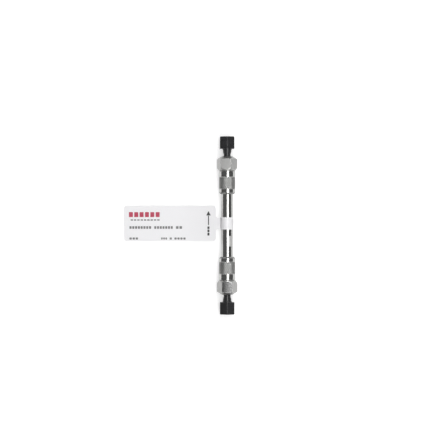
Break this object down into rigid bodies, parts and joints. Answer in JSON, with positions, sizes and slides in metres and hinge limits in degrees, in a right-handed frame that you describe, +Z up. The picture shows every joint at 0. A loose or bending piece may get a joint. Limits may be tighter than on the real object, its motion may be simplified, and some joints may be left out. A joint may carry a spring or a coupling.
{
  "type": "hplc column",
  "caption": "Steel chromatography column lying on its side: straight tube, knurled coupling nuts, hexagonal end fittings, a black screw plug in each port and a white flag label.",
  "frame": {"origin": "middle of the tube, on its axis", "axes": "+Y along the axis towards the outlet, +Z up as it lies, label tag towards -X"},
  "size_m": [0.0613, 0.0954, 0.0102],
  "materials": {
    "polished_steel": "polished",
    "satin_steel": "satin, fine turned grain",
    "spring_steel": "plain",
    "porous_steel": "matt, sintered",
    "seal_plastic": "matt",
    "packing": "matt powder",
    "plug_plastic": "satin black",
    "label_film": "semi-gloss white film"
  },
  "bodies": {
    "column": {"column_tube": "polished_steel", "packed_bed": "packing", "label_tag": "label_film", "retaining_ring_outlet": "spring_steel", "frit_outlet": "porous_steel", "frit_ring_outlet": "seal_plastic", "retaining_ring_inlet": "spring_steel", "frit_inlet": "porous_steel", "frit_ring_inlet": "seal_plastic"},
    "outlet_nut": {"coupling_nut_outlet": "polished_steel"},
    "outlet_fitting": {"end_fitting_outlet": "satin_steel"},
    "outlet_plug": {"end_plug_outlet": "plug_plastic"},
    "inlet_nut": {"coupling_nut_inlet": "polished_steel"},
    "inlet_fitting": {"end_fitting_inlet": "satin_steel"},
    "inlet_plug": {"end_plug_inlet": "plug_plastic"}
  },
  "joints": [
    {"name": "outlet_nut_turn", "type": "hinge", "parent": "column", "child": "outlet_nut", "pos_m": [0, 0.0231, 0], "axis": [0, -1, 0], "range_deg": [0, 2340]},
    {"name": "outlet_fitting_travel", "type": "slide", "parent": "column", "child": "outlet_fitting", "axis": [0, 1, 0], "range_m": [0, 0.00487]},
    {"name": "outlet_plug_slide", "type": "slide", "parent": "outlet_fitting", "child": "outlet_plug", "axis": [0, 1, 0], "range_m": [0, 0.009]},
    {"name": "inlet_nut_turn", "type": "hinge", "parent": "column", "child": "inlet_nut", "pos_m": [0, -0.0231, 0], "axis": [0, 1, 0], "range_deg": [0, 2340]},
    {"name": "inlet_fitting_travel", "type": "slide", "parent": "column", "child": "inlet_fitting", "axis": [0, -1, 0], "range_m": [0, 0.00487]},
    {"name": "inlet_plug_slide", "type": "slide", "parent": "inlet_fitting", "child": "inlet_plug", "axis": [0, -1, 0], "range_m": [0, 0.009]}
  ],
  "couplings": [
    {"joint": "outlet_nut_turn", "follows": "outlet_fitting_travel", "rad_per_m": 8377.6},
    {"joint": "inlet_nut_turn", "follows": "inlet_fitting_travel", "rad_per_m": 8377.6}
  ]
}
